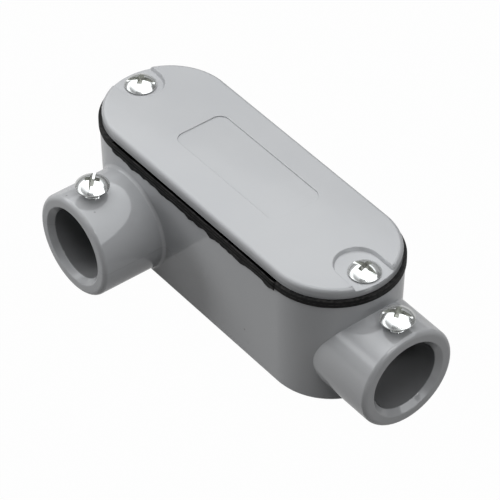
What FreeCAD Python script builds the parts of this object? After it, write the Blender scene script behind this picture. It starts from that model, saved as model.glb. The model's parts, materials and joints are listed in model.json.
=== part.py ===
import FreeCAD
import Part
import Sketcher
import math
import os
from FreeCAD import Placement, Rotation, Vector

UP = Vector(0, 0, 1)
QUARTER = math.pi / 2  # a quarter turn, in radians
TOUCH = 0.001  # how near an edge lies to what it is looked for on

# Half inch conduit body of the LR form, in millimetres.
# The origin is the middle of the flat back, +Z points to the cover, +X to the end hub and the side hub opens to -Y.

doc = FreeCAD.newDocument("conduit_body")
sheet = doc.addObject("Spreadsheet::Sheet", "Sizes")

# Driving dimensions: alias, millimetres, what it is
driving = [
    ("end_centre", 31.6, "middle of the body to the centre of each round end"),
    ("rim_height", 31.4, "back to the rim that the gasket lies on"),
    ("rim_half", 17.15, "half width of the casting at its rim"),
    ("back_half", 16.35, "half width of the casting at its back"),
    ("back_round", 2.0, "rounding of the edge round the back"),
    ("wall", 2.4, "thickness of the side wall"),
    ("floor_thick", 2.4, "thickness of the back"),
    ("hub_axis", 13.55, "height of both hub axes above the back"),
    ("hub_radius", 13.45, "outside radius of a hub"),
    ("hub_round", 1.4, "rounding of the outer edge of a hub's mouth"),
    ("hub_blend", 1.1, "fillet between the side hub and the wall"),
    ("end_mouth", 60.15, "middle of the body to the end hub's mouth"),
    ("side_place", 25.45, "middle of the body to the side hub's axis"),
    ("side_mouth", 34.55, "centre plane to the side hub's mouth"),
    ("socket_radius", 9.15, "socket for the tube"),
    ("lead_radius", 10.3, "mouth of the lead-in cone"),
    ("lead_depth", 1.5, "depth of the lead-in cone"),
    ("end_socket_depth", 14.4, "depth of the end socket down to its stop"),
    ("side_socket_depth", 17.4, "depth of the side socket down to its stop"),
    ("throat_radius", 7.9, "opening inside the stop"),
    ("stop_thick", 2.2, "thickness of the stop at the end hub"),
    ("screw_radius", 2.08, "outside radius of every screw's thread"),
    ("thread_gap", 0.05, "radial play between a screw and its tapped hole"),
    ("cover_hole_gap", 0.25, "radial play of a cover screw in cover and gasket"),
    ("cover_screw_place", 43.3, "middle of the body to each cover screw"),
    ("lug_radius", 4.1, "half width of the lug that a cover screw enters"),
    ("tapped_depth", 8.6, "depth of the tapped hole in a lug"),
    ("end_screw_inset", 4.8, "end hub's mouth to its set screw"),
    ("side_screw_inset", 6.7, "side hub's mouth to its set screw"),
    ("gasket_thick", 1.85, "thickness of the squeezed gasket"),
    ("gasket_half", 17.4, "half width of the gasket"),
    ("gasket_land", 4.5, "width of the gasket along the straight sides"),
    ("cover_thick", 2.85, "thickness of the cover at its edge"),
    ("cover_half", 16.55, "half width of the cover"),
    ("cover_round", 1.1, "rounding of the cover's top edge"),
    ("cover_relief", 1.1, "depth of the hollow under the cover"),
    ("cover_land", 3.6, "width of the cover's rim beside that hollow"),
    ("screw_land", 5.9, "half length of the solid cover and gasket round a screw"),
    ("pad_depth", 0.95, "depth of the sunk seats round the cover screws"),
    ("pad_radius", 5.9, "half width of such a seat"),
    ("pad_flare", 2.2, "radius of the flare where the seat runs out"),
    ("pad_draft", 24.0, "slope of the seat's wall, in degrees from upright"),
    ("front_pad_shift", 2.4, "front screw to the centre of its seat"),
    ("rear_pad_shift", 0.2, "rear screw to the centre of its seat"),
    ("panel_length", 39.0, "length of the sunk panel on the cover"),
    ("panel_width", 14.8, "width of that panel"),
    ("panel_depth", 0.3, "depth of that panel"),
    ("panel_corner", 2.6, "corner radius of that panel"),
    ("panel_place", -2.1, "middle of the cover to the panel's middle, along X"),
    ("panel_side", 1.1, "middle of the cover to the panel's middle, along Y"),
    ("cover_head_radius", 4.0, "radius of a cover screw's head"),
    ("cover_head_height", 2.3, "height of a cover screw's head"),
    ("cover_screw_length", 11.0, "cover screw under its head"),
    ("set_head_radius", 4.25, "radius of a set screw's head"),
    ("set_head_height", 2.5, "height of a set screw's head"),
    ("set_screw_length", 6.35, "set screw under its head"),
    ("set_screw_rise", 2.3, "hub to the underside of a set screw's head"),
    ("head_edge", 0.7, "height of the straight edge of a head"),
    ("slot_width", 1.2, "width of the driver slot"),
    ("slot_depth", 1.0, "depth of the driver slot below the crown"),
    ("cross_length", 4.6, "tip to tip length of the cross recess"),
    ("cross_width", 1.1, "width of a wing of the cross recess"),
    ("cross_depth", 1.6, "depth of the cross recess below the crown"),
    ("tip_chamfer", 0.5, "chamfer at a screw's tip"),
    ("side_screw_turn", -44.0, "turn of the side set screw's slot, in degrees"),
    ("end_screw_turn", 38.0, "turn of the end set screw's slot, in degrees"),
    ("front_screw_turn", 10.0, "turn of the front cover screw's slot, in degrees"),
    ("rear_screw_turn", 44.0, "turn of the rear cover screw's slot, in degrees"),
]


class Size:
    # A number together with the expression that reads it from the sheet.
    def __init__(self, value, text):
        self.value = value
        self.text = text

    def join(self, sign, other, value):
        return Size(value, f"({self.text} {sign} {other.text})")

    def __add__(self, other):
        other = size(other)
        return self.join("+", other, self.value + other.value)

    def __sub__(self, other):
        other = size(other)
        return self.join("-", other, self.value - other.value)

    def __mul__(self, other):
        other = size(other)
        return self.join("*", other, self.value * other.value)

    def __truediv__(self, other):
        other = size(other)
        return self.join("/", other, self.value / other.value)

    def __neg__(self):
        return Size(-self.value, f"(0 - {self.text})")


def size(number):
    return number if isinstance(number, Size) else Size(float(number), str(number))


sizes = {}
for row, (alias, number, note) in enumerate(driving, start=1):
    sheet.set(f"A{row}", str(number))
    sheet.setAlias(f"A{row}", alias)
    sheet.set(f"B{row}", note)
    sizes[alias] = Size(number, f"Sizes.{alias}")
doc.recompute()


def cell(alias):
    return sizes[alias]


def bind(item, prop, value):
    item.setExpression(prop, size(value).text)


def new_body(name):
    body = doc.addObject("PartDesign::Body", name)
    body.Label = name
    return body


def sketch_on(body, name, role, height=0):
    sketch = body.newObject("Sketcher::SketchObject", name)
    plane = next(item for item in body.Origin.OriginFeatures if item.Role == role)
    sketch.AttachmentSupport = [(plane, "")]
    sketch.MapMode = "FlatFace"
    height = size(height)
    sketch.AttachmentOffset = Placement(Vector(0, 0, height.value), Rotation())
    bind(sketch, "AttachmentOffset.Base.z", height)
    return sketch


def fix_point(sketch, curve, end, across, along):
    # Holds one end or centre of a curve at a place measured from the sketch's origin.
    for kind, value in (("DistanceX", size(across)), ("DistanceY", size(along))):
        index = sketch.addConstraint(Sketcher.Constraint(kind, -1, 1, curve, end, value.value))
        bind(sketch, f"Constraints[{index}]", value)


def fix_radius(sketch, curve, radius):
    index = sketch.addConstraint(Sketcher.Constraint("Radius", curve, radius.value))
    bind(sketch, f"Constraints[{index}]", radius)


def arc(x, y, radius, first, last):
    # An arc between two angles that are given in quarter turns.
    return Part.ArcOfCircle(Part.Circle(Vector(x, y, 0), UP, radius), first * QUARTER, last * QUARTER)


def add_circle(sketch, across, along, radius):
    across, along, radius = size(across), size(along), size(radius)
    curve = sketch.addGeometry(Part.Circle(Vector(across.value, along.value, 0), UP, radius.value), False)
    fix_point(sketch, curve, 3, across, along)
    fix_radius(sketch, curve, radius)


def add_outline(sketch, points):
    # A closed outline of straight lines. Each point is a pair of sizes.
    places = [Vector(size(x).value, size(y).value, 0) for x, y in points]
    count = len(points)
    first = sketch.GeometryCount
    for index in range(count):
        sketch.addGeometry(Part.LineSegment(places[index], places[(index + 1) % count]), False)
    for index in range(count):
        after = (index + 1) % count
        sketch.addConstraint(Sketcher.Constraint("Coincident", first + index, 2, first + after, 1))
    for index, (x, y) in enumerate(points):
        fix_point(sketch, first + index, 1, x, y)


def add_stadium(sketch, centre, radius):
    # Two straight sides and two round ends, long along the sketch's X.
    c, r = centre.value, radius.value
    right = sketch.addGeometry(arc(c, 0, r, -1, 1), False)
    top = sketch.addGeometry(Part.LineSegment(Vector(c, r, 0), Vector(-c, r, 0)), False)
    left = sketch.addGeometry(arc(-c, 0, r, 1, 3), False)
    low = sketch.addGeometry(Part.LineSegment(Vector(-c, -r, 0), Vector(c, -r, 0)), False)
    for one, one_end, two, two_end in ((right, 2, top, 1), (top, 2, left, 1), (left, 2, low, 1), (low, 2, right, 1)):
        sketch.addConstraint(Sketcher.Constraint("Tangent", one, one_end, two, two_end))
    fix_point(sketch, right, 3, centre, 0)
    fix_point(sketch, left, 3, -centre, 0)
    fix_radius(sketch, right, radius)


def finish(body, feature):
    # Recomputes, and stops if a feature failed or changed nothing.
    before = body.Tip.Shape.Volume if body.Tip and body.Tip != feature else 0.0
    body.Tip = feature
    doc.recompute()
    if feature.State and any(word in feature.State for word in ("Invalid", "Error")):
        raise RuntimeError(f"{body.Label}: {feature.Name} failed")
    if abs(feature.Shape.Volume - before) < 1e-4:
        raise RuntimeError(f"{body.Label}: {feature.Name} changed nothing")
    return feature


def raise_sketch(body, name, sketch, length, draft=None, back=False):
    pad = body.newObject("PartDesign::Pad", name)
    pad.Profile = sketch
    bind(pad, "Length", length)
    if draft:
        pad.setExpression("TaperAngle", draft)
    pad.Reversed = back
    return pad


def sink_sketch(body, name, sketch, depth, draft=None, back=False):
    pocket = body.newObject("PartDesign::Pocket", name)
    pocket.Profile = sketch
    bind(pocket, "Length", depth)
    if draft:
        pocket.setExpression("TaperAngle", draft)
    pocket.Reversed = back
    return pocket


def turn_sketch(body, kind, name, sketch, axis):
    turned = body.newObject(kind, name)
    turned.Profile = sketch
    turned.ReferenceAxis = (sketch, [axis])
    turned.Angle = 360
    return turned


def dress(body, kind, name, base, edges, prop, value):
    item = body.newObject(kind, name)
    item.Base = (base, edges)
    bind(item, prop, value)
    return item


def edges_where(shape, test):
    return [f"Edge{index}" for index, edge in enumerate(shape.Edges, start=1)
            if not edge.Degenerated and test(edge)]


def points_along(edge, count=9):
    return edge.discretize(count)


def in_plane(edge, axis, place):
    return all(abs(getattr(point, axis) - place) < TOUCH for point in points_along(edge))


def at_side_root(edge):
    # True for the edges where the side hub grows out of the wall, well behind its mouth.
    x, z, radius = -cell("side_place").value, cell("hub_axis").value, cell("hub_radius").value
    halfway = -(cell("rim_half") + cell("side_mouth")).value / 2
    return all(abs(math.hypot(point.x - x, point.z - z) - radius) < TOUCH and point.y > halfway
               for point in points_along(edge))


def build_housing():
    # One die casting: obround box, two hubs, stops for the tubes and lugs for the cover screws.
    body = new_body("housing")
    draft = "atan((Sizes.rim_half - Sizes.back_half) / Sizes.rim_height)"
    outline = sketch_on(body, "back_outline", "XY_Plane")
    add_stadium(outline, cell("end_centre"), cell("back_half"))
    box = finish(body, raise_sketch(body, "box", outline, cell("rim_height"), draft))
    low_edges = edges_where(box.Shape, lambda edge: in_plane(edge, "z", 0))
    finish(body, dress(body, "PartDesign::Fillet", "back_edge", box, low_edges, "Radius", cell("back_round")))

    end_ring = sketch_on(body, "end_hub_ring", "YZ_Plane")
    add_circle(end_ring, 0, cell("hub_axis"), cell("hub_radius"))
    finish(body, raise_sketch(body, "end_hub", end_ring, cell("end_mouth")))
    side_ring = sketch_on(body, "side_hub_ring", "XZ_Plane")
    add_circle(side_ring, -cell("side_place"), cell("hub_axis"), cell("hub_radius"))
    hubs = finish(body, raise_sketch(body, "side_hub", side_ring, cell("side_mouth")))

    mouths = edges_where(hubs.Shape, lambda edge: in_plane(edge, "x", cell("end_mouth").value)
                         or in_plane(edge, "y", -cell("side_mouth").value))
    rounded = finish(body, dress(body, "PartDesign::Fillet", "mouth_edges", hubs, mouths, "Radius",
                                 cell("hub_round")))
    root = edges_where(rounded.Shape, at_side_root)
    finish(body, dress(body, "PartDesign::Fillet", "side_root", rounded, root, "Radius", cell("hub_blend")))

    mouth = sketch_on(body, "cavity_outline", "XY_Plane", cell("rim_height"))
    add_stadium(mouth, cell("end_centre"), cell("rim_half") - cell("wall"))
    finish(body, sink_sketch(body, "cavity", mouth, cell("rim_height") - cell("floor_thick"), f"-1 * {draft}"))

    # Stop wall of the end hub, with the front lug above it and the rear lug at the far end
    inner_radius = cell("back_half") - cell("wall") / 2
    inner_end = cell("end_centre") + inner_radius
    block = sketch_on(body, "stop_outline", "XY_Plane", cell("floor_thick") / 2)
    add_segment(block, cell("end_centre"), inner_radius,
                cell("end_mouth") - cell("end_socket_depth") - cell("stop_thick"))
    finish(body, raise_sketch(body, "stop_wall", block,
                              cell("hub_axis") + cell("throat_radius") + cell("wall") / 2))
    for name, side, start in (("front_lug", 1, cell("hub_axis")), ("rear_lug", -1, cell("floor_thick") / 2)):
        lug = sketch_on(body, f"{name}_outline", "XY_Plane", start)
        screw, half = cell("cover_screw_place"), cell("lug_radius")
        root = inner_end
        if side < 0:
            screw, root = -screw, -root
        add_lug(lug, screw, root, half, side)
        finish(body, raise_sketch(body, name, lug, cell("rim_height") - start))

    for name, role, place, reach, depth, inner in (
            ("end_socket", "XZ_Plane", 0, cell("end_mouth"), cell("end_socket_depth"),
             cell("cover_screw_place") - cell("lug_radius") - cell("wall")),
            ("side_socket", "YZ_Plane", -cell("side_place"), cell("side_mouth"), cell("side_socket_depth"),
             cell("back_half") - cell("wall") * 2)):
        core = sketch_on(body, f"{name}_section", role, place)
        add_socket(core, reach, depth, inner, 1 if name == "end_socket" else -1)
        finish(body, turn_sketch(body, "PartDesign::Groove", name, core, "Axis0"))

    holes = sketch_on(body, "cover_screw_holes", "XY_Plane", cell("rim_height"))
    for place in (cell("cover_screw_place"), -cell("cover_screw_place")):
        add_circle(holes, place, 0, cell("screw_radius") + cell("thread_gap"))
    finish(body, sink_sketch(body, "tapped_lugs", holes, cell("tapped_depth")))
    top = sketch_on(body, "set_screw_holes", "XY_Plane", cell("hub_axis") + cell("hub_radius"))
    tapped = cell("screw_radius") + cell("thread_gap")
    add_circle(top, cell("end_mouth") - cell("end_screw_inset"), 0, tapped)
    add_circle(top, -cell("side_place"), cell("side_screw_inset") - cell("side_mouth"), tapped)
    finish(body, sink_sketch(body, "tapped_hubs", top, cell("hub_radius") - cell("socket_radius") / 2))
    return body


def add_segment(sketch, centre, radius, chord):
    # The part of a circle that lies beyond a chord across the body.
    c, r, x = centre.value, radius.value, chord.value
    turn = math.acos((x - c) / r) / QUARTER
    high = math.sqrt(r * r - (x - c) ** 2)
    bow = sketch.addGeometry(arc(c, 0, r, -turn, turn), False)
    line = sketch.addGeometry(Part.LineSegment(Vector(x, high, 0), Vector(x, -high, 0)), False)
    sketch.addConstraint(Sketcher.Constraint("Coincident", bow, 2, line, 1))
    sketch.addConstraint(Sketcher.Constraint("Coincident", line, 2, bow, 1))
    sketch.addConstraint(Sketcher.Constraint("Vertical", line))
    fix_point(sketch, bow, 3, centre, 0)
    fix_radius(sketch, bow, radius)
    index = sketch.addConstraint(Sketcher.Constraint("DistanceX", -1, 1, line, 1, x))
    bind(sketch, f"Constraints[{index}]", chord)


def add_lug(sketch, screw, root, half, side):
    # A half round nose towards the middle of the body, with straight flanks that run into the end wall.
    x, end, r = screw.value, root.value, half.value
    nose = sketch.addGeometry(arc(x, 0, r, 1, 3) if side > 0 else arc(x, 0, r, -1, 1), False)
    lower, upper = Vector(x, -r, 0), Vector(x, r, 0)
    start, finish_at = (upper, lower) if side > 0 else (lower, upper)
    one = sketch.addGeometry(Part.LineSegment(finish_at, Vector(end, finish_at.y, 0)), False)
    two = sketch.addGeometry(Part.LineSegment(Vector(end, finish_at.y, 0), Vector(end, start.y, 0)), False)
    three = sketch.addGeometry(Part.LineSegment(Vector(end, start.y, 0), start), False)
    sketch.addConstraint(Sketcher.Constraint("Tangent", nose, 2, one, 1))
    sketch.addConstraint(Sketcher.Constraint("Coincident", one, 2, two, 1))
    sketch.addConstraint(Sketcher.Constraint("Coincident", two, 2, three, 1))
    sketch.addConstraint(Sketcher.Constraint("Tangent", three, 2, nose, 1))
    sketch.addConstraint(Sketcher.Constraint("Vertical", two))
    sketch.addConstraint(Sketcher.Constraint("Horizontal", one))
    fix_point(sketch, nose, 3, screw, 0)
    fix_radius(sketch, nose, half)
    index = sketch.addConstraint(Sketcher.Constraint("DistanceX", -1, 1, two, 1, root.value))
    bind(sketch, f"Constraints[{index}]", root)


def add_socket(sketch, mouth, depth, inner, sign):
    # Half section of what the tube enters: lead-in cone, socket, stop and throat, about the hub's own axis.
    axis = cell("hub_axis")
    over = axis + cell("lead_radius") + cell("lead_depth")
    steps = [(mouth + cell("lead_depth"), axis), (mouth + cell("lead_depth"), over),
             (mouth - cell("lead_depth"), axis + cell("socket_radius")),
             (mouth - depth, axis + cell("socket_radius")), (mouth - depth, axis + cell("throat_radius")),
             (inner, axis + cell("throat_radius")), (inner, axis)]
    if sign < 0:
        steps = [(-across, along) for across, along in steps]
    add_outline(sketch, steps)
    middle = sketch.addGeometry(Part.LineSegment(Vector(0, axis.value, 0), Vector(10, axis.value, 0)), True)
    fix_point(sketch, middle, 1, 0, axis)
    fix_point(sketch, middle, 2, 10, axis)


def build_gasket():
    # Flat rubber ring, wide at both ends where the cover screws pass through it.
    body = new_body("gasket")
    outline = sketch_on(body, "gasket_outline", "XY_Plane")
    add_stadium(outline, cell("end_centre"), cell("gasket_half"))
    finish(body, raise_sketch(body, "sheet", outline, cell("gasket_thick")))
    inner = cell("gasket_half") - cell("gasket_land")
    opening = sketch_on(body, "gasket_opening", "XY_Plane", cell("gasket_thick"))
    add_stadium(opening, cell("cover_screw_place") - cell("screw_land") - inner, inner)
    finish(body, sink_sketch(body, "opening", opening, cell("gasket_thick") * 2))
    drill_cover_holes(body, cell("gasket_thick"), cell("gasket_thick") * 2)
    bind(body, "Placement.Base.z", cell("rim_height"))
    return body


def drill_cover_holes(body, top, depth):
    holes = sketch_on(body, "screw_holes", "XY_Plane", top)
    for place in (cell("cover_screw_place"), -cell("cover_screw_place")):
        add_circle(holes, place, 0, cell("screw_radius") + cell("cover_hole_gap"))
    finish(body, sink_sketch(body, "clearance_holes", holes, depth))


def build_cover():
    # Cast lid: rounded top edge, a hollow underneath, two sunk screw seats and a shallow blank panel.
    body = new_body("cover")
    outline = sketch_on(body, "cover_outline", "XY_Plane")
    add_stadium(outline, cell("end_centre"), cell("cover_half"))
    plate = finish(body, raise_sketch(body, "plate", outline, cell("cover_thick")))
    top = cell("cover_thick").value
    rim = edges_where(plate.Shape, lambda edge: in_plane(edge, "z", top))
    finish(body, dress(body, "PartDesign::Fillet", "top_edge", plate, rim, "Radius", cell("cover_round")))

    hollow = sketch_on(body, "hollow_outline", "XY_Plane")
    inner = cell("cover_half") - cell("cover_land")
    add_stadium(hollow, cell("cover_screw_place") - cell("screw_land") - inner, inner)
    finish(body, sink_sketch(body, "hollow", hollow, cell("cover_relief"), back=True))

    for name, side, shift in (("front_seat", 1, cell("front_pad_shift")), ("rear_seat", -1, cell("rear_pad_shift"))):
        seat = sketch_on(body, f"{name}_outline", "XY_Plane", cell("cover_thick"))
        add_seat(seat, cell("cover_screw_place") - shift, side)
        finish(body, sink_sketch(body, name, seat, cell("pad_depth"), "-1 * Sizes.pad_draft * 1 deg"))

    panel = sketch_on(body, "panel_outline", "XY_Plane", cell("cover_thick"))
    add_panel(panel)
    finish(body, sink_sketch(body, "blank_panel", panel, cell("panel_depth")))
    drill_cover_holes(body, cell("cover_thick"), cell("cover_thick") * 2)
    bind(body, "Placement.Base.z", cell("rim_height") + cell("gasket_thick"))
    return body


def add_seat(sketch, centre, side):
    # A round nose about the seat's centre, straight flanks, then a flare that runs out past the cover's end.
    half, flare = cell("pad_radius").value, cell("pad_flare").value
    middle = centre.value * side
    mouth = (cell("end_centre") + cell("cover_half") - cell("pad_flare")).value * side
    out = mouth + 2 * flare * side
    turns = ((1, 3), (0, 1), (3, 4)) if side > 0 else ((-1, 1), (1, 2), (2, 3))
    nose = arc(middle, 0, half, *turns[0])
    low = arc(mouth, -half - flare, flare, *turns[1])
    high = arc(mouth, half + flare, flare, *turns[2])
    tip = mouth + flare * side
    curves = [nose, low, high,
              Part.LineSegment(Vector(middle, -half, 0), Vector(mouth, -half, 0)),
              Part.LineSegment(Vector(middle, half, 0), Vector(mouth, half, 0)),
              Part.LineSegment(Vector(tip, -half - flare, 0), Vector(out, -half - flare, 0)),
              Part.LineSegment(Vector(out, -half - flare, 0), Vector(out, half + flare, 0)),
              Part.LineSegment(Vector(out, half + flare, 0), Vector(tip, half + flare, 0))]
    nose, low, high, low_flank, high_flank, low_out, across, high_out = [sketch.addGeometry(item, False)
                                                                        for item in curves]
    low_end, high_end = (2, 1) if side > 0 else (1, 2)
    joins = [("Tangent", nose, low_end, low_flank, 1), ("Tangent", nose, high_end, high_flank, 1),
             ("Tangent", low_flank, 2, low, low_end), ("Tangent", high_flank, 2, high, high_end),
             ("Coincident", low, high_end, low_out, 1), ("Coincident", low_out, 2, across, 1),
             ("Coincident", across, 2, high_out, 1), ("Coincident", high_out, 2, high, low_end)]
    for kind, one, one_end, two, two_end in joins:
        sketch.addConstraint(Sketcher.Constraint(kind, one, one_end, two, two_end))
    for kind, curve in (("Horizontal", low_flank), ("Horizontal", low_out), ("Horizontal", high_out),
                        ("Vertical", across)):
        sketch.addConstraint(Sketcher.Constraint(kind, curve))
    place = size(side)
    fix_point(sketch, nose, 3, centre * place, 0)
    fix_radius(sketch, nose, cell("pad_radius"))
    fix_radius(sketch, low, cell("pad_flare"))
    fix_radius(sketch, high, cell("pad_flare"))
    for curve in (low, high):
        reach = (cell("end_centre") + cell("cover_half") - cell("pad_flare")) * place
        index = sketch.addConstraint(Sketcher.Constraint("DistanceX", -1, 1, curve, 3, reach.value))
        bind(sketch, f"Constraints[{index}]", reach)
    index = sketch.addConstraint(Sketcher.Constraint("DistanceX", -1, 1, across, 1, out))
    bind(sketch, f"Constraints[{index}]", (cell("end_centre") + cell("cover_half") + cell("pad_flare")) * place)


def add_panel(sketch):
    # A rectangle with round corners.
    half_x, half_y = cell("panel_length") / 2, cell("panel_width") / 2
    x0, x1 = cell("panel_place") - half_x, cell("panel_place") + half_x
    y0, y1 = cell("panel_side") - half_y, cell("panel_side") + half_y
    r = cell("panel_corner")
    corners = [(x1 - r, y0 + r), (x1 - r, y1 - r), (x0 + r, y1 - r), (x0 + r, y0 + r)]
    arcs = []
    for turn, (x, y) in enumerate(corners, start=-1):
        arcs.append(sketch.addGeometry(arc(x.value, y.value, r.value, turn, turn + 1), False))
    ends = [(Vector(x1.value, (y0 + r).value, 0), Vector(x1.value, (y1 - r).value, 0)),
            (Vector((x1 - r).value, y1.value, 0), Vector((x0 + r).value, y1.value, 0)),
            (Vector(x0.value, (y1 - r).value, 0), Vector(x0.value, (y0 + r).value, 0)),
            (Vector((x0 + r).value, y0.value, 0), Vector((x1 - r).value, y0.value, 0))]
    lines = [sketch.addGeometry(Part.LineSegment(start, end), False) for start, end in ends]
    for index in range(4):
        sketch.addConstraint(Sketcher.Constraint("Tangent", arcs[index], 2, lines[index], 1))
        sketch.addConstraint(Sketcher.Constraint("Tangent", lines[index], 2, arcs[(index + 1) % 4], 1))
    for corner in arcs:
        fix_radius(sketch, corner, r)
    fix_point(sketch, arcs[0], 3, *corners[0])
    fix_point(sketch, arcs[2], 3, *corners[2])


def add_screw_section(sketch, length, head_radius, head_height):
    # Half of a screw: chamfered shank, flat underside, low straight edge and a crown that is part of a ball.
    shank, chamfer, edge = cell("screw_radius"), cell("tip_chamfer"), cell("head_edge")
    corners = [(0, head_height), (0, -length), (shank - chamfer, -length), (shank, chamfer - length), (shank, 0),
               (head_radius, 0), (head_radius, edge)]
    places = [Vector(size(x).value, size(y).value, 0) for x, y in corners]
    lines = [sketch.addGeometry(Part.LineSegment(one, two), False) for one, two in zip(places, places[1:])]
    for one, two in zip(lines, lines[1:]):
        sketch.addConstraint(Sketcher.Constraint("Coincident", one, 2, two, 1))
    for index, (x, y) in enumerate(corners[:-1]):
        fix_point(sketch, lines[index], 1, x, y)
    fix_point(sketch, lines[-1], 2, *corners[-1])
    rise = (head_height - edge).value
    ball = (head_radius.value ** 2 + rise ** 2) / (2 * rise)
    middle = head_height.value - ball
    rim = math.atan2(edge.value - middle, head_radius.value) / QUARTER
    crown = sketch.addGeometry(arc(0, middle, ball, rim, 1), False)
    sketch.addConstraint(Sketcher.Constraint("Coincident", crown, 1, lines[-1], 2))
    sketch.addConstraint(Sketcher.Constraint("Coincident", crown, 2, lines[0], 1))
    sketch.addConstraint(Sketcher.Constraint("PointOnObject", crown, 3, -2))


def build_screw(name, length, head_radius, head_height, place, turn):
    # Round headed machine screw with a driver slot and a cross recess. Its own origin lies under the head.
    body = new_body(name)
    section = sketch_on(body, f"{name}_section", "XZ_Plane")
    add_screw_section(section, length, head_radius, head_height)
    finish(body, turn_sketch(body, "PartDesign::Revolution", "turned", section, "V_Axis"))

    slot = sketch_on(body, "slot_outline", "XY_Plane", head_height)
    half = cell("slot_width") / 2
    over = head_radius + cell("slot_width")
    add_outline(slot, [(-over, -half), (over, -half), (over, half), (-over, half)])
    finish(body, sink_sketch(body, "slot", slot, cell("slot_depth")))
    cross = sketch_on(body, "cross_outline", "XY_Plane", head_height)
    wing, tip = cell("cross_width") / 2, cell("cross_length") / 2
    add_outline(cross, [(-wing, -tip), (wing, -tip), (wing, -wing), (tip, -wing), (tip, wing), (wing, wing),
                        (wing, tip), (-wing, tip), (-wing, wing), (-tip, wing), (-tip, -wing), (-wing, -wing)])
    finish(body, sink_sketch(body, "cross", cross, cell("cross_depth")))

    x, y, z = place
    body.Placement = Placement(Vector(x.value, y.value, z.value), Rotation(Vector(0, 0, 1), cell(turn).value))
    for axis, value in zip("xyz", place):
        bind(body, f"Placement.Base.{axis}", value)
    body.setExpression("Placement.Rotation.Angle", f"{cell(turn).text} * 1 deg")
    return body


def build_screws():
    seat = cell("rim_height") + cell("gasket_thick") + cell("cover_thick") - cell("pad_depth")
    raised = cell("hub_axis") + cell("hub_radius") + cell("set_screw_rise")
    place = cell("cover_screw_place")
    cover_form = (cell("cover_screw_length"), cell("cover_head_radius"), cell("cover_head_height"))
    set_form = (cell("set_screw_length"), cell("set_head_radius"), cell("set_head_height"))
    return [
        build_screw("cover_screw_front", *cover_form, (place, size(0), seat), "front_screw_turn"),
        build_screw("cover_screw_rear", *cover_form, (-place, size(0), seat), "rear_screw_turn"),
        build_screw("set_screw_end", *set_form,
                    (cell("end_mouth") - cell("end_screw_inset"), size(0), raised), "end_screw_turn"),
        build_screw("set_screw_side", *set_form,
                    (-cell("side_place"), cell("side_screw_inset") - cell("side_mouth"), raised),
                    "side_screw_turn"),
    ]


pieces = [build_housing(), build_gasket(), build_cover()] + build_screws()
doc.recompute()
for item in doc.Objects:
    if any(word in item.State for word in ("Invalid", "Error")):
        raise RuntimeError(f"{item.Label} failed: {item.State}")
os.makedirs("parts", exist_ok=True)
for piece in pieces:
    shape = piece.Shape
    if shape.isNull() or not shape.isValid() or len(shape.Solids) != 1:
        raise RuntimeError(f"{piece.Label} is not one good solid")
    shape.exportStep(f"parts/{piece.Label}.step")
    print(piece.Label, round(shape.Volume, 1), "mm3")
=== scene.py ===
import json
from math import cos, hypot, pi, radians, sin, sqrt

import bmesh
import bpy
from mathutils import Matrix, Vector, noise

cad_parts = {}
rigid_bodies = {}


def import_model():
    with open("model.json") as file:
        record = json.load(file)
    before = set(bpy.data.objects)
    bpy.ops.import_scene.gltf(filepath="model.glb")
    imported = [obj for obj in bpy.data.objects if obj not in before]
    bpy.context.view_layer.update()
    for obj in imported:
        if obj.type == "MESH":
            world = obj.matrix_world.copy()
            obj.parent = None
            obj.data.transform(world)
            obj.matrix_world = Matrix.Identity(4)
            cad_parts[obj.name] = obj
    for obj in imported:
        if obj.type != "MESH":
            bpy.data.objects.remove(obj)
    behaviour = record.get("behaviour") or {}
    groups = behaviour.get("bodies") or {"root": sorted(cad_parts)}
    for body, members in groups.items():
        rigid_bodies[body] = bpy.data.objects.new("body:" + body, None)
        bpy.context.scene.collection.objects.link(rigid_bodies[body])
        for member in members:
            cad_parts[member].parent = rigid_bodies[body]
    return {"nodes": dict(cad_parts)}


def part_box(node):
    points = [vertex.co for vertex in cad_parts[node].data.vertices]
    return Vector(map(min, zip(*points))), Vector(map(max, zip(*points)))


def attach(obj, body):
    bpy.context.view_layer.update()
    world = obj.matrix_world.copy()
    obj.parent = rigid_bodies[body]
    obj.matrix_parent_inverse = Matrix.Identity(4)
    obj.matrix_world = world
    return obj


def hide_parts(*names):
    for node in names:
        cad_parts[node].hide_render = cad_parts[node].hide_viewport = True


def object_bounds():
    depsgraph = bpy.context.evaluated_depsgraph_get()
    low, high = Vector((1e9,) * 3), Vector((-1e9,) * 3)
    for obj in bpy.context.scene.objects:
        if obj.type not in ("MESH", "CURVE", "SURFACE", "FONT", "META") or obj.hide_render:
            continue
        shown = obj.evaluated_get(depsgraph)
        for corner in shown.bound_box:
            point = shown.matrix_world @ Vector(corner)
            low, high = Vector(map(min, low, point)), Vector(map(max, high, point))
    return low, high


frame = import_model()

cadLow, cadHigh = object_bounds()
mm = 0.001


# Objects and their meshes

def clearSelection():
    for item in bpy.context.view_layer.objects:
        item.select_set(False)


def makeActive(piece):
    clearSelection()
    piece.select_set(True)
    bpy.context.view_layer.objects.active = piece


def newFromPrimitive(name, addPrimitive, **settings):
    clearSelection()
    addPrimitive(**settings)
    piece = bpy.context.active_object
    piece.name = name
    piece.data.name = name
    bpy.ops.object.transform_apply(location=True, rotation=True, scale=True)
    return piece


def newFromLine(name, corners, closed=False):
    mesh = bpy.data.meshes.new(name)
    links = [(i, i + 1) for i in range(len(corners) - 1)]
    if closed:
        links.append((len(corners) - 1, 0))
    mesh.from_pydata([Vector(corner) for corner in corners], links, [])
    piece = bpy.data.objects.new(name, mesh)
    bpy.context.collection.objects.link(piece)
    makeActive(piece)
    return piece


def editMesh(piece, select="SELECT"):
    makeActive(piece)
    bpy.ops.object.mode_set(mode="EDIT")
    bpy.ops.mesh.select_mode(type="VERT")
    bpy.ops.mesh.select_all(action=select)


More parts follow.
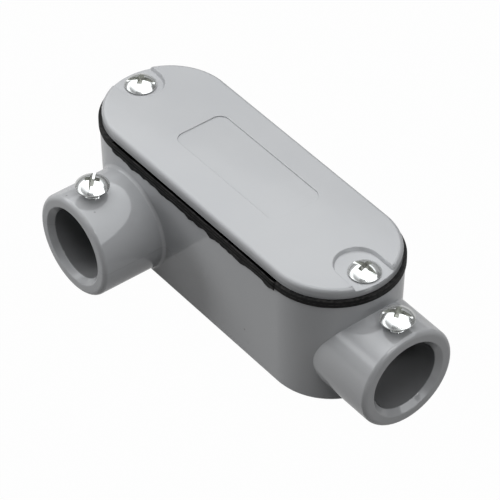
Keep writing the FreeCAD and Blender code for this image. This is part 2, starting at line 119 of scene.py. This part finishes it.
def leaveEdit():
    bpy.ops.object.mode_set(mode="OBJECT")


def closeAndTurnOut(piece, gap=1e-6):
    editMesh(piece)
    bpy.ops.mesh.remove_doubles(threshold=gap)
    bpy.ops.mesh.normals_make_consistent(inside=False)
    leaveEdit()


def applyModifier(piece, kind, **settings):
    makeActive(piece)
    modifier = piece.modifiers.new(kind.title(), kind)
    for key, value in settings.items():
        setattr(modifier, key, value)
    bpy.ops.object.modifier_apply(modifier=modifier.name)


def combine(piece, other, operation):
    applyModifier(piece, "BOOLEAN", object=other, operation=operation, solver="EXACT")
    bpy.data.objects.remove(other, do_unlink=True)


def smoothByAngle(piece, angle):
    makeActive(piece)
    bpy.ops.object.shade_smooth_by_angle(angle=radians(angle))


def trueNormals(piece, surfaces, near=0.08 * mm, agree=15):
    # Corner normals of faces that lie on a known round surface are taken from the surface itself, so that
    # long thin facets reflect evenly. Each surface gives a place's distance from it and its outward direction.
    mesh = piece.data
    normals = [corner.vector.copy() for corner in mesh.corner_normals]
    found = {}
    onSurface = set()
    for face in mesh.polygons:
        for surface in surfaces:
            distance, outward = surface(face.center)
            if abs(distance) < near and outward.dot(face.normal) > cos(radians(agree)):
                for corner in face.loop_indices:
                    index = mesh.loops[corner].vertex_index
                    normals[corner] = surface(mesh.vertices[index].co)[1]
                    found.setdefault(index, []).append(normals[corner])
                    onSurface.add(corner)
    for corner, loop in enumerate(mesh.loops):
        if corner not in onSurface and loop.vertex_index in found:
            best = max(found[loop.vertex_index], key=normals[corner].dot)
            if best.dot(normals[corner]) > cos(radians(agree)):
                normals[corner] = best
    mesh.normals_split_custom_set(normals)


def copyPiece(piece, name):
    twin = piece.copy()
    twin.data = piece.data.copy()
    twin.name = name
    twin.data.name = name
    bpy.context.collection.objects.link(twin)
    return twin


# Shader nodes: a socket with arithmetic, and one call that adds any node

class Value:
    def __init__(self, socket, tree):
        self.socket = socket
        self.tree = tree

    def math(self, operation, *others, **settings):
        values = [self.socket] + [getattr(other, "socket", other) for other in others]
        return self.tree.add("ShaderNodeMath", dict(operation=operation, **settings), *values).value()

    def __add__(self, other):
        return self.math("ADD", other)

    def __sub__(self, other):
        return self.math("SUBTRACT", other)

    def __mul__(self, other):
        return self.math("MULTIPLY", other)

    def __truediv__(self, other):
        return self.math("DIVIDE", other)

    def __rsub__(self, other):
        return (self * -1.0) + other

    __radd__ = __add__
    __rmul__ = __mul__

    def above(self, low, high):
        settings = dict(interpolation_type="SMOOTHSTEP", clamp=True)
        return self.tree.add("ShaderNodeMapRange", settings, self.socket, low, high).value()

    def clamped(self):
        return self.math("ADD", 0.0, use_clamp=True)


class Added:
    def __init__(self, node, tree):
        self.node = node
        self.tree = tree

    def value(self, name=0):
        return Value(self.node.outputs[name], self.tree)

    def out(self, name=0):
        return self.node.outputs[name]


class Tree:
    def __init__(self, nodeTree):
        self.nodeTree = nodeTree
        nodeTree.nodes.clear()

    def add(self, kind, settings=None, *values, **named):
        node = self.nodeTree.nodes.new(kind)
        for key, setting in (settings or {}).items():
            setattr(node, key, setting)
        inputs = list(enumerate(values)) + [(name.replace("_", " "), item) for name, item in named.items()]
        for name, item in inputs:
            item = getattr(item, "socket", item)
            if isinstance(item, bpy.types.NodeSocket):
                self.nodeTree.links.new(item, node.inputs[name])
            elif item is not None:
                node.inputs[name].default_value = item
        return Added(node, self)

    def place(self):
        return self.add("ShaderNodeTexCoord").out("Object")

    def noise(self, place, scale, detail=2.0, rough=0.5):
        return self.add("ShaderNodeTexNoise", None, Vector=place, Scale=scale, Detail=detail,
                        Roughness=rough).value("Fac")

    def mix(self, factor, first, second):
        node = self.add("ShaderNodeMix", dict(data_type="RGBA"))
        for name, item in ((0, factor), (6, first), (7, second)):
            item = getattr(item, "socket", item)
            if isinstance(item, bpy.types.NodeSocket):
                self.nodeTree.links.new(item, node.node.inputs[name])
            else:
                node.node.inputs[name].default_value = item
        return node.out(2)

    def bump(self, height, distance, strength=1.0, below=None):
        return self.add("ShaderNodeBump", None, Height=height, Distance=distance, Strength=strength,
                        Normal=below).out("Normal")

    def finish(self, shader):
        self.add("ShaderNodeOutputMaterial", None, shader)


def newMaterial(name):
    material = bpy.data.materials.new(name)
    material.use_nodes = True
    return material, Tree(material.node_tree)


def grey(level, warmth=0.0):
    return (level * (1 + warmth), level, level * (1 - warmth), 1)


# Grey baked paint over the die castings

castPaint = {
    "colour": (0.385, 0.393, 0.405, 1),
    "paler": (0.402, 0.409, 0.419, 1),
    "roughness": 0.05,
    "roughnessSpread": 0.05,
    "peelScale": 420.0,      # orange peel, waves per metre
    "peelDepth": 0.006 * mm,
    "waveScale": 95.0,
    "waveDepth": 0.02 * mm,
    "hubAxis": 13.55 * mm,
    "sidePlace": 25.45 * mm,
    "boreEdge": (9.15 * mm, 9.25 * mm),
    "paintedBoreShade": 0.5,        # painted shade in the sockets, near black
    "coverHeight": 32.4 * mm,
    "coverCalm": 0.55,       # the cover's flat top came out smoother than the box
    "speckScale": 260.0,
    "seamHeight": 13.4 * mm,
    "seamWidth": 0.16 * mm,
    "seamDepth": 0.03 * mm,
}


def insideHubs(parts):
    # 1 in the two sockets and the lead-in cones, 0 elsewhere: where the paint gets its painted shade.
    x, y, z = parts.value("X"), parts.value("Y"), parts.value("Z")
    up = z - castPaint["hubAxis"]
    fromEnd = (y * y + up * up).math("SQRT")
    along = x + castPaint["sidePlace"]
    fromSide = (along * along + up * up).math("SQRT")
    low, high = castPaint["boreEdge"]
    inEnd = (1 - fromEnd.above(low, high)) * x.above(38 * mm, 40 * mm)
    inSide = (1 - fromSide.above(low, high)) * (1 - y.above(-16 * mm, -14 * mm))
    return (inEnd + inSide).clamped()


def makeCastPaint():
    given = castPaint
    material, tree = newMaterial("castPaint")
    place = tree.place()
    broad = tree.noise(place, 28.0, 3.0)
    peel = tree.noise(place, given["peelScale"], 2.0)
    wave = tree.noise(place, given["waveScale"], 1.0)
    speck = tree.add("ShaderNodeTexVoronoi", dict(feature="F1"), Vector=place,
                     Scale=given["speckScale"]).value("Distance")
    rare = tree.noise(place, 61.0, 0.0).above(0.68, 0.7)
    dot = (1 - speck.above(0.05, 0.10)) * rare
    parts = tree.add("ShaderNodeSeparateXYZ", None, place)
    height = parts.value("Z")
    calm = 1 - height.above(given["coverHeight"], given["coverHeight"] + 0.3 * mm) * given["coverCalm"]
    away = (height - given["seamHeight"]).math("ABSOLUTE")
    nearHub = parts.value("X").above(-0.001, -0.009) * (1 - parts.value("Y").above(-0.0160, -0.0155))
    seam = (1 - away.above(0.0, given["seamWidth"])) * nearHub
    colour = tree.mix(broad.above(0.35, 0.65), given["colour"], given["paler"])
    # painted shade: the sockets and lead-in cones are darkened towards near black
    colour = tree.mix(insideHubs(parts) * given["paintedBoreShade"], colour, grey(0.02))
    colour = tree.mix(dot * 0.5, colour, grey(0.12))
    colour = tree.mix(seam * 0.25, colour, grey(0.2))
    roughness = given["roughness"] + (peel - 0.5) * given["roughnessSpread"]
    normal = tree.bump(wave * calm, given["waveDepth"])
    normal = tree.bump(peel * calm, given["peelDepth"], below=normal)
    normal = tree.bump(seam - dot * 0.6, given["seamDepth"], below=normal)
    tree.finish(tree.add("ShaderNodeBsdfPrincipled", None, Base_Color=colour, Roughness=roughness,
                         Normal=normal).out())
    return material


# Moulded rubber of the gasket

rubber = {
    "colour": grey(0.005),
    "worn": grey(0.02, 0.03),
    # colour of the painted highlight lines along the gasket's edges, at the heights listed two lines down
    "line": grey(0.05, 0.04),
    "roughness": 0.6,
    "grainScale": 900.0,
    "grainDepth": 0.03 * mm,
    "lines": (31.55 * mm, 32.22 * mm, 33.12 * mm),
}


def makeRubber():
    given = rubber
    material, tree = newMaterial("gasketRubber")
    place = tree.place()
    grain = tree.noise(place, given["grainScale"], 3.0)
    scuff = tree.noise(place, 170.0, 3.0).above(0.5, 0.75)
    colour = tree.mix(scuff * grain.above(0.3, 0.7), given["colour"], given["worn"])
    height = tree.add("ShaderNodeSeparateXYZ", None, place).value("Z") + (scuff - 0.5) * 0.1 * mm
    # painted highlights: thin lighter lines at the heights of the gasket's edges and ledge
    for level in given["lines"]:
        away = (height - level).math("ABSOLUTE")
        colour = tree.mix((1 - away.above(0.02 * mm, 0.12 * mm)) * grain.above(0.4, 0.6), colour, given["line"])
    roughness = given["roughness"] + (grain - 0.5) * 0.25
    normal = tree.bump(grain, given["grainDepth"])
    tree.finish(tree.add("ShaderNodeBsdfPrincipled", None, Base_Color=colour, Roughness=roughness,
                         Specular_IOR_Level=0.12, Normal=normal).out())
    return material


# Bright plating of the screws, the duller plating in their recesses, and a painted shade on their rims

plating = {
    "colour": (0.74, 0.75, 0.74, 1),
    "stain": (0.62, 0.63, 0.60, 1),
    "metallic": 0.75,
    "roughness": 0.13,
    "recess": (0.40, 0.42, 0.37, 1),
    "recessMetal": 0.3,
    "recessRoughness": 0.55,
}


def makePlating():
    given = plating
    material, tree = newMaterial("brightPlating")
    place = tree.place()
    cloud = tree.noise(place, 500.0, 4.0)
    ripple = tree.noise(place, 330.0, 1.0)
    colour = tree.mix(cloud.above(0.5, 0.8) * 0.5, given["colour"], given["stain"])
    roughness = given["roughness"] + cloud.above(0.4, 0.8) * 0.1
    normal = tree.bump(ripple, 0.01 * mm)
    tree.finish(tree.add("ShaderNodeBsdfPrincipled", None, Base_Color=colour, Metallic=given["metallic"],
                         Roughness=roughness, Normal=normal).out())
    return material


def makeDullPlatingAndShade(name, pale, dark):
    given = plating
    material, tree = newMaterial(name)
    place = tree.place()
    cloud = tree.noise(place, 1500.0, 3.0)
    colour = tree.mix(cloud.above(0.3, 0.7), pale, dark)
    roughness = given["recessRoughness"] + (cloud - 0.5) * 0.3
    normal = tree.bump(cloud, 0.05 * mm)
    tree.finish(tree.add("ShaderNodeBsdfPrincipled", None, Base_Color=colour, Metallic=given["recessMetal"],
                         Roughness=roughness, Normal=normal).out())
    return material


paintFinish = makeCastPaint()
rubberFinish = makeRubber()
platingFinish = makePlating()
recessFinish = makeDullPlatingAndShade("recessPlating", plating["recess"], grey(0.2, 0.04))
# painted shade: a near-black finish for the lowest band of the screw heads' rims, standing in for their shadow and
# dark reflections
paintedRimShade = makeDullPlatingAndShade("rimPaintedShade", grey(0.10), grey(0.04))
print("materials made")


# The two castings: the frame's own solids with every sharp edge softened, as paint and tumbling leave them

castings = {
    "housing": ("castHousing", 0.22 * mm),
    "cover": ("castCover", 0.16 * mm),
}
roundSurfaces = {
    "centre": 31.6 * mm,
    "backHalf": 16.35 * mm,
    "rimHalf": 17.15 * mm,
    "rimHeight": 31.4 * mm,
    "hubAxis": 13.55 * mm,
    "hubRadius": 13.45 * mm,
    "sidePlace": 25.45 * mm,
}
castEdges = {
    "segments": 3,
    "sharpAngle": 28,
    "creaseAngle": 24,
    "flatAngle": 0.4,
}


def bodyWall(place):
    given = roundSurfaces
    alongX = min(max(place.x, -given["centre"]), given["centre"])
    out = Vector((place.x - alongX, place.y, 0))
    draft = (given["rimHalf"] - given["backHalf"]) / given["rimHeight"]
    distance = out.length - given["backHalf"] - draft * place.z
    return distance, (out.normalized() - Vector((0, 0, draft))).normalized()


def endHub(place):
    out = Vector((0, place.y, place.z - roundSurfaces["hubAxis"]))
    return out.length - roundSurfaces["hubRadius"], out.normalized()


def sideHub(place):
    out = Vector((place.x + roundSurfaces["sidePlace"], 0, place.z - roundSurfaces["hubAxis"]))
    return out.length - roundSurfaces["hubRadius"], out.normalized()


def markOuterEdges(piece):
    # Weights for the bevel: the edges that stand out, not the creases.
    form = bmesh.new()
    form.from_mesh(piece.data)
    weight = form.edges.layers.float.new("bevel_weight_edge")
    for edge in form.edges:
        if len(edge.link_faces) == 2 and edge.calc_face_angle_signed() > radians(castEdges["sharpAngle"]):
            edge[weight] = 1.0
    form.to_mesh(piece.data)
    form.free()


def softenCasting(node):
    name, width = castings[node]
    piece = copyPiece(frame["nodes"][node], name)
    piece.parent = None
    piece.matrix_world = Matrix.Identity(4)
    closeAndTurnOut(piece, 1e-6)
    editMesh(piece)
    bpy.ops.mesh.dissolve_limited(angle_limit=radians(castEdges["flatAngle"]))
    leaveEdit()
    markOuterEdges(piece)
    applyModifier(piece, "BEVEL", width=width, segments=castEdges["segments"], limit_method="WEIGHT",
                  use_clamp_overlap=False)
    smoothByAngle(piece, castEdges["creaseAngle"])
    applyModifier(piece, "WEIGHTED_NORMAL", keep_sharp=True)
    if node == "housing":
        trueNormals(piece, (bodyWall, endHub, sideHub))
    piece.data.materials.clear()
    piece.data.materials.append(paintFinish)
    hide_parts(node)
    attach(piece, "fitting")


for castNode in castings:
    softenCasting(castNode)
print("castings made")


# Gasket: a ring under the cover's edge with a ragged lower lip

gasketLow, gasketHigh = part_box("gasket")
gasketForm = {
    "half": gasketHigh.y,                                   # half width across the gasket
    "centre": gasketHigh.x - gasketHigh.y,                  # where its round ends turn
    "bottom": gasketLow.z,
    "top": gasketHigh.z,
    "inside": 1.5 * mm,
    "turnSteps": 90,
    "runSteps": 70,
    "lip": 0.85 * mm,                                        # hangs over the wall below
    "ragged": 0.9 * mm,
    "bulge": 0.3 * mm,
}


def gasketSection():
    given = gasketForm
    low, high = given["bottom"], given["top"]
    inner = -given["inside"]
    lip = given["lip"]
    outline = ((inner, low), (-0.2 * mm, low), (-0.2 * mm, low - lip), (0.0, low - lip), (0.06 * mm, low + 0.1 * mm),
               (0.06 * mm, low + 0.6 * mm), (-0.16 * mm, low + 0.78 * mm), (-0.16 * mm, low + 0.9 * mm),
               (0.04 * mm, low + 1.06 * mm), (0.0, high - 0.28 * mm), (-0.12 * mm, high - 0.1 * mm),
               (-0.3 * mm, high), (inner, high))
    return [(given["centre"], given["half"] + out, up) for out, up in outline]


def makeGasket():
    given = gasketForm
    ring = newFromLine("gasketRing", gasketSection(), closed=True)
    centre = Vector((given["centre"], 0, 0))
    run = Vector((-2 * given["centre"] / given["runSteps"], 0, 0))
    editMesh(ring)
    for side in (1, -1):
        bpy.ops.mesh.spin(steps=given["turnSteps"], angle=-pi, center=centre * side, axis=(0, 0, 1))
        for step in range(given["runSteps"]):
            bpy.ops.mesh.extrude_region_move(TRANSFORM_OT_translate=dict(value=run * side))
    leaveEdit()
    closeAndTurnOut(ring, 2e-5)
    return ring


def roughenGasket(ring):
    given = gasketForm
    for vertex in ring.data.vertices:
        place = vertex.co
        alongX = min(max(place.x, -given["centre"]), given["centre"])
        out = Vector((place.x - alongX, place.y, 0))
        if out.length < given["half"] - 0.6 * mm:
            continue
        swell = noise.noise(place * 260.0) * given["bulge"]
        torn = max(noise.noise(Vector((place.x, place.y, 0)) * 480.0 + Vector((3, 7, 1))), -0.25)
        vertex.co = place + out.normalized() * max(swell, 0.0)
        if place.z < given["bottom"] - 0.1 * mm:
            vertex.co.z -= torn * given["ragged"]


gasketRing = makeGasket()
roughenGasket(gasketRing)
gasketPiece = copyPiece(frame["nodes"]["gasket"], "gasketBody")
gasketPiece.parent = None
gasketPiece.matrix_world = Matrix.Identity(4)
closeAndTurnOut(gasketPiece, 1e-5)
combine(gasketPiece, gasketRing, "UNION")
smoothByAngle(gasketPiece, 40)
gasketPiece.data.materials.clear()
gasketPiece.data.materials.append(rubberFinish)
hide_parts("gasket")
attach(gasketPiece, "fitting")
print("gasket made")


# Screws: domed heads with a slot and a cross, on threaded shanks

coverHead = {
    "radius": 4.0 * mm,
    "height": 2.24 * mm,
    "rim": 0.42 * mm,
    "slotWidth": 1.5 * mm,
    "slotDepth": 1.3 * mm,
    "crossSpan": 4.9 * mm,
    "crossWidth": 1.4 * mm,
    "crossDepth": 1.6 * mm,
    "shank": 11.0 * mm,
}
setHead = dict(coverHead, radius=4.25 * mm, height=2.5 * mm, rim=0.5 * mm, shank=6.35 * mm)
thread = {
    "crest": 2.06 * mm,
    "root": 1.62 * mm,
    "pitch": 0.79 * mm,
    "steps": 36,
    "chamfer": 0.6 * mm,
    "tip": 1.4 * mm,
}


def domeHeight(head, radius):
    rise = head["height"] - head["rim"]
    ball = (head["radius"] ** 2 + rise ** 2) / (2 * rise)
    return head["height"] - ball + sqrt(ball ** 2 - radius ** 2)


def dome(head, place):
    rise = head["height"] - head["rim"]
    ball = (head["radius"] ** 2 + rise ** 2) / (2 * rise)
    out = place - Vector((0, 0, head["height"] - ball))
    return out.length - ball, out.normalized()


def makeHead(head):
    edge = head["radius"]
    outline = [(0, 0, 0), (edge - 0.3 * mm, 0, 0), (edge - 0.06 * mm, 0, 0.1 * mm), (edge, 0, head["rim"] * 0.6)]
    for step in range(20):
        radius = (edge - 0.05 * mm) * (1 - step / 20) ** 0.8
        outline.append((radius, 0, domeHeight(head, radius)))
    outline.append((0, 0, head["height"]))
    piece = newFromLine("screwHead", outline)
    editMesh(piece)
    bpy.ops.mesh.spin(steps=96, angle=2 * pi, center=(0, 0, 0), axis=(0, 0, 1))
    leaveEdit()
    closeAndTurnOut(piece, 1e-6)
    return piece


def taperedBar(name, length, width, depth, top, narrowing, thinning=0.75):
    bar = newFromPrimitive(name, bpy.ops.mesh.primitive_cube_add, size=1, location=(0, 0, top - depth / 2),
                           scale=(length, width, depth))
    for vertex in bar.data.vertices:
        if vertex.co.z < top - depth / 2:
            vertex.co.x *= narrowing
            vertex.co.y *= thinning
    editMesh(bar)
    bpy.ops.mesh.bevel(offset=0.09 * mm, segments=2, affect="EDGES")
    leaveEdit()
    return bar


def cutRecess(piece, head):
    top = head["height"] + 0.6 * mm
    slot = taperedBar("slotCutter", head["radius"] * 2.4, head["slotWidth"],
                      head["slotDepth"] + 0.6 * mm, top, 1.0, 0.5)
    combine(piece, slot, "DIFFERENCE")
    for turn in (0, 90):
        wing = taperedBar("wingCutter", head["crossSpan"], head["crossWidth"],
                          head["crossDepth"] + 0.6 * mm, top, 0.45)
        wing.data.transform(Matrix.Rotation(radians(turn), 4, "Z"))
        combine(piece, wing, "DIFFERENCE")


def makeShank(length):
    given = thread
    root, crest, pitch = given["root"], given["crest"], given["pitch"]
    start = 1.5 * pitch                                     # the screw tool works downward from here
    outline = ((root, 0), (root, 0.10), (crest * 0.97, 0.42), (crest, 0.5), (crest * 0.97, 0.58), (root, 0.9),
               (root, 1.0))
    piece = newFromLine("screwShank", [(across, 0, start + up * pitch) for across, up in outline])
    turns = int(length / pitch) + 5
    editMesh(piece)
    bpy.ops.mesh.screw(steps=given["steps"], turns=turns, center=(0, 0, 0), axis=(0, 0, 1))
    bpy.ops.mesh.select_all(action="SELECT")
    bpy.ops.mesh.remove_doubles(threshold=2e-6)
    for height, direction in ((-length, -1), (0.3 * mm, 1)):
        bpy.ops.mesh.select_all(action="SELECT")
        bpy.ops.mesh.bisect(plane_co=(0, 0, height), plane_no=(0, 0, direction), use_fill=True,
                            clear_outer=True, threshold=1e-7)
    leaveEdit()
    piece.data.transform(Matrix.Scale(-1, 4, (0, 1, 0)))    # a right handed thread
    closeAndTurnOut(piece, 1e-6)
    for vertex in piece.data.vertices:
        rise = (vertex.co.z + length) / given["chamfer"]
        across = hypot(vertex.co.x, vertex.co.y)
        allowed = given["tip"] + (crest - given["tip"]) * rise
        if rise < 1 and across > allowed:
            vertex.co.x *= allowed / across
            vertex.co.y *= allowed / across
    return piece


def colourRecessAndRimShade(piece, head):
    piece.data.materials.clear()
    piece.data.materials.append(platingFinish)
    piece.data.materials.append(recessFinish)
    piece.data.materials.append(paintedRimShade)
    reach, half = head["crossSpan"] / 2, head["crossWidth"] / 2
    for face in piece.data.polygons:
        far, near = sorted((abs(face.center.x), abs(face.center.y)), reverse=True)
        sunk = domeHeight(head, min(hypot(far, near), head["radius"])) - face.center.z
        inCross = sunk > 0.06 * mm and far < reach and near < half
        slotWall = sunk > 0.02 * mm and abs(face.normal.z) < 0.6
        if face.center.z > head["rim"] and (inCross or slotWall):
            face.material_index = 1
        # the lowest band of the rim takes the painted shade
        elif 0 < face.center.z < head["rim"] * 0.55:
            face.material_index = 2


def makeScrew(name, head):
    piece = makeHead(head)
    piece.name = name
    cutRecess(piece, head)
    combine(piece, makeShank(head["shank"]), "UNION")
    colourRecessAndRimShade(piece, head)
    smoothByAngle(piece, 32)
    trueNormals(piece, (lambda place: dome(head, place),), near=0.02 * mm)
    return piece


screwPlaces = (
    ("coverScrewFront", "cover_screw_front", "front_screw", coverHead, 10),
    ("coverScrewRear", "cover_screw_rear", "rear_screw", coverHead, 44),
    ("setScrewEnd", "set_screw_end", "end_screw", setHead, 38),
    ("setScrewSide", "set_screw_side", "side_screw", setHead, -44),
)


def placeScrews():
    patterns = {}
    for name, node, body, head, turn in screwPlaces:
        key = head["shank"]
        if key not in patterns:
            patterns[key] = makeScrew(name, head)
            piece = copyPiece(patterns[key], name)
        else:
            piece = copyPiece(patterns[key], name)
        low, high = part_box(node)
        middle = (low + high) / 2
        underHead = high.z - head["height"]
        place = Matrix.Translation((middle.x, middle.y, underHead))
        piece.data.transform(place @ Matrix.Rotation(radians(turn), 4, "Z"))
        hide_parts(node)
        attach(piece, body)
    for pattern in patterns.values():
        bpy.data.objects.remove(pattern, do_unlink=True)


placeScrews()
print("screws made")


# Floor, light and camera

studio = {
    "floorSize": 3.0,
    "floorDrop": 0.02 * mm,
    "floorColour": grey(0.14),
    "whiteShare": 0.985,
    "mirrorShare": 0.5,
    "ambient": 0.04,
    "darkSpot": ((0.37, 0.84, 0.40), 0.955, 0.968),
    "cameraSide": ((0.537, -0.42, 0.731), 0.87, 0.9),
    "sky": 0.32,             # what glossy paint and plating reflect
    "horizon": 0.1,
    "softbox": 3.0,
    "behind": 1.9,
    "streak": 2.2,
    "skyTint": (0.95, 0.975, 1.0, 1),
    "lamps": (
        ("overheadPanel", (-0.55, 0.1, 1.0), (2.0, 1.5), 8, 0, 19.0),
        ("rightPanel", (1.1, 0.15, 0.45), (0.5, 0.5), None, 0, 1.9),
        ("leftPanel", (-0.95, -0.7, 0.28), (0.5, 0.5), None, 0, 7.0),
    ),
    "glints": (
        ("glintPanel", (0.83, -0.16, 1.03), (0.5, 0.16), None, 0, 2.2),
    ),
}
cameraView = {
    "place": Vector((473.4, -369.6, 552.1)) * mm,
    "azimuth": 52.0,
    "elevation": 42.0,
    "lens": 239.4,
    "sensor": 36.0,
}


def makeFloor():
    size = studio["floorSize"]
    piece = newFromPrimitive("floor", bpy.ops.mesh.primitive_plane_add, size=size,
                             location=(0, 0, cadLow[2] - studio["floorDrop"]))
    material, tree = newMaterial("paleFloor")
    lit = tree.add("ShaderNodeBsdfDiffuse", None, Color=studio["floorColour"]).out()
    white = tree.add("ShaderNodeEmission", None, Color=grey(1.0), Strength=1.0).out()
    path = tree.add("ShaderNodeLightPath")
    mirrored = (path.value("Is Glossy Ray") + path.value("Is Transmission Ray")).clamped()
    share = path.value("Is Camera Ray") * studio["whiteShare"] + mirrored * studio["mirrorShare"]
    tree.finish(tree.add("ShaderNodeMixShader", None, share, lit, white).out())
    piece.data.materials.append(material)


def skyLevel(tree):
    # Brightness of the room by direction: a large softbox overhead, a paler wall behind it and a dark horizon.
    toward = tree.add("ShaderNodeTexCoord").out("Generated")
    parts = tree.add("ShaderNodeSeparateXYZ", None, toward)
    x, y, z = parts.value("X"), parts.value("Y"), parts.value("Z")
    safe = z.math("MAXIMUM", 0.05)
    across, along = x / safe, y / safe       # where the direction meets a ceiling one unit up
    farEdge = (across + 0.9173) * 0.3 + 0.7169
    beyond = (along - farEdge).above(-0.0015, 0.0015)
    within = across.above(-1.9, -1.8) * (1 - across.above(2.4, 3.2))
    ceiling = within * (1 - beyond) * along.above(-1.1, -0.2) * (studio["softbox"] - studio["sky"])
    backWall = within * beyond * (1 - along.above(1.2, 1.6)) * (studio["behind"] - studio["sky"])
    level = z.above(0.02, 0.34) * (studio["sky"] - studio["horizon"]) + studio["horizon"]
    leftward = (x * -0.58 + y * -0.81).above(0.55, 0.8)
    streak = z.above(0.30, 0.43) * (1 - z.above(0.45, 0.6)) * leftward * studio["streak"]
    level = level + ceiling + backWall + streak
    (sideX, sideY, up), start, full = studio["darkSpot"]
    level = level * (1 - (x * sideX + y * sideY + z * up).above(start, full) * 0.8)
    (sideX, sideY, up), start, full = studio["cameraSide"]
    shade = (x * sideX + y * sideY + z * up).above(start, full) * z.above(0.58, 0.62) * (1 - z.above(0.79, 0.83))
    return level * (1 - shade * 0.8)


def makeWorld():
    world = bpy.data.worlds.new("studio")
    bpy.context.scene.world = world
    world.use_nodes = True
    tree = Tree(world.node_tree)
    path = tree.add("ShaderNodeLightPath")
    seen = (path.value("Is Camera Ray") + path.value("Is Transmission Ray")).clamped()
    shader = tree.add("ShaderNodeBackground", None, studio["skyTint"], studio["ambient"]).out()
    for colour, strength, factor in ((studio["skyTint"], skyLevel(tree), path.value("Is Glossy Ray")),
                                     (grey(1.0), 1.0, seen)):
        light = tree.add("ShaderNodeBackground", None, colour, strength).out()
        shader = tree.add("ShaderNodeMixShader", None, factor, shader, light).out()
    tree.add("ShaderNodeOutputWorld", None, shader)


def addLamps(lamps, glossy):
    aim = Vector((0, 0, 0.02))
    for name, place, size, level, roll, power in lamps:
        lamp = bpy.data.lights.new(name, "AREA")
        lamp.shape = "RECTANGLE"
        lamp.size, lamp.size_y = size
        lamp.energy = power
        item = bpy.data.objects.new(name, lamp)
        item.location = place
        item.visible_glossy = glossy
        if level is None:
            facing = (Vector(place) - aim).to_track_quat("Z", "Y")
            item.rotation_euler = (facing @ Matrix.Rotation(radians(roll), 3, "Z").to_quaternion()).to_euler()
        else:
            item.rotation_euler = (0, 0, radians(level))
        bpy.context.collection.objects.link(item)


def addCamera():
    camera = bpy.data.cameras.new("camera")
    camera.lens = cameraView["lens"]
    camera.sensor_width = cameraView["sensor"]
    camera.clip_start = 0.01
    item = bpy.data.objects.new("camera", camera)
    item.location = cameraView["place"]
    item.rotation_euler = (radians(90 - cameraView["elevation"]), 0, radians(cameraView["azimuth"]))
    bpy.context.collection.objects.link(item)
    bpy.context.scene.camera = item


makeFloor()
makeWorld()
addLamps(studio["lamps"], glossy=False)
addLamps(studio["glints"], glossy=True)
addCamera()
bpy.context.scene.view_settings.view_transform = "Standard"
print("studio set")
